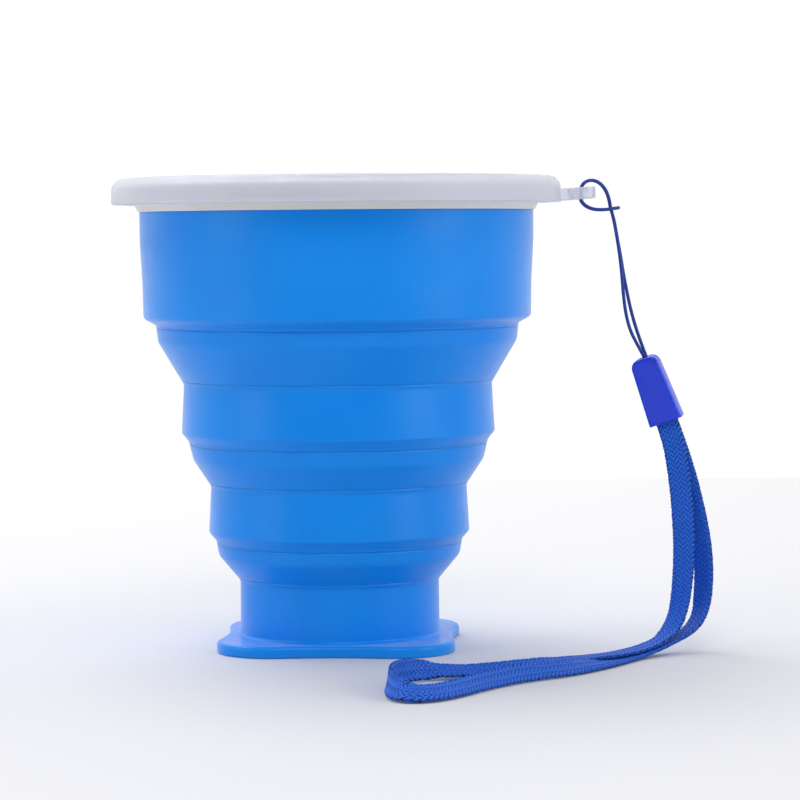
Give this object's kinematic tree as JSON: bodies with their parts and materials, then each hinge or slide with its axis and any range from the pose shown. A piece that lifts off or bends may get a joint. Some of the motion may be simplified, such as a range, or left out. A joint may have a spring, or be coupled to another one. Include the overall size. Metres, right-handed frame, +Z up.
{
  "type": "collapsible travel cup",
  "caption": "Folding silicone travel cup with a frosted push-fit lid, a hard rim ring, a lobed foot, and a woven wrist strap on a thin looped cord.",
  "frame": {"origin": "on the cup's axis at the underside of its foot", "axes": "+Z up the cup's axis towards the lid; +X towards the lid's lanyard tab; -Y towards the side where the strap's loop lies"},
  "size_m": [0.1143, 0.12, 0.0898],
  "materials": {
    "silicone_blue": "matt silicone, dyed through",
    "ring_plastic": "satin, off-white",
    "lid_frosted": "frosted, translucent",
    "cord_navy": "fine twisted cord",
    "clasp_plastic": "smooth moulded",
    "crimp_metal": "plated",
    "strap_blue": "flat tubular braid"
  },
  "bodies": {
    "collar": {"collar_band": "silicone_blue", "rim_ring": "ring_plastic", "upper_fold": "silicone_blue"},
    "upper_band": {"upper_band": "silicone_blue", "middle_fold": "silicone_blue"},
    "lower_band": {"lower_band": "silicone_blue", "lower_fold": "silicone_blue"},
    "base": {"base_cup": "silicone_blue", "foot_plate": "silicone_blue"},
    "lid": {"lid": "lid_frosted", "loop_cord": "cord_navy", "cord_knot": "cord_navy", "clasp_front_shell": "clasp_plastic", "clasp_back_shell": "clasp_plastic", "strap_crimp": "crimp_metal", "wrist_strap": "strap_blue"}
  },
  "joints": [
    {"name": "upper_fold_slide", "type": "slide", "parent": "collar", "child": "upper_band", "axis": [0, 0, -1], "range_m": [-0.024, 0], "deforming": ["upper_fold"]},
    {"name": "middle_fold_slide", "type": "slide", "parent": "upper_band", "child": "lower_band", "axis": [0, 0, -1], "range_m": [-0.0188, 0], "deforming": ["middle_fold"]},
    {"name": "lower_fold_slide", "type": "slide", "parent": "lower_band", "child": "base", "axis": [0, 0, -1], "range_m": [-0.0168, 0], "deforming": ["lower_fold"]},
    {"name": "lid_lift", "type": "slide", "parent": "collar", "child": "lid", "axis": [0, 0, 1], "range_m": [0, 0.03]}
  ]
}
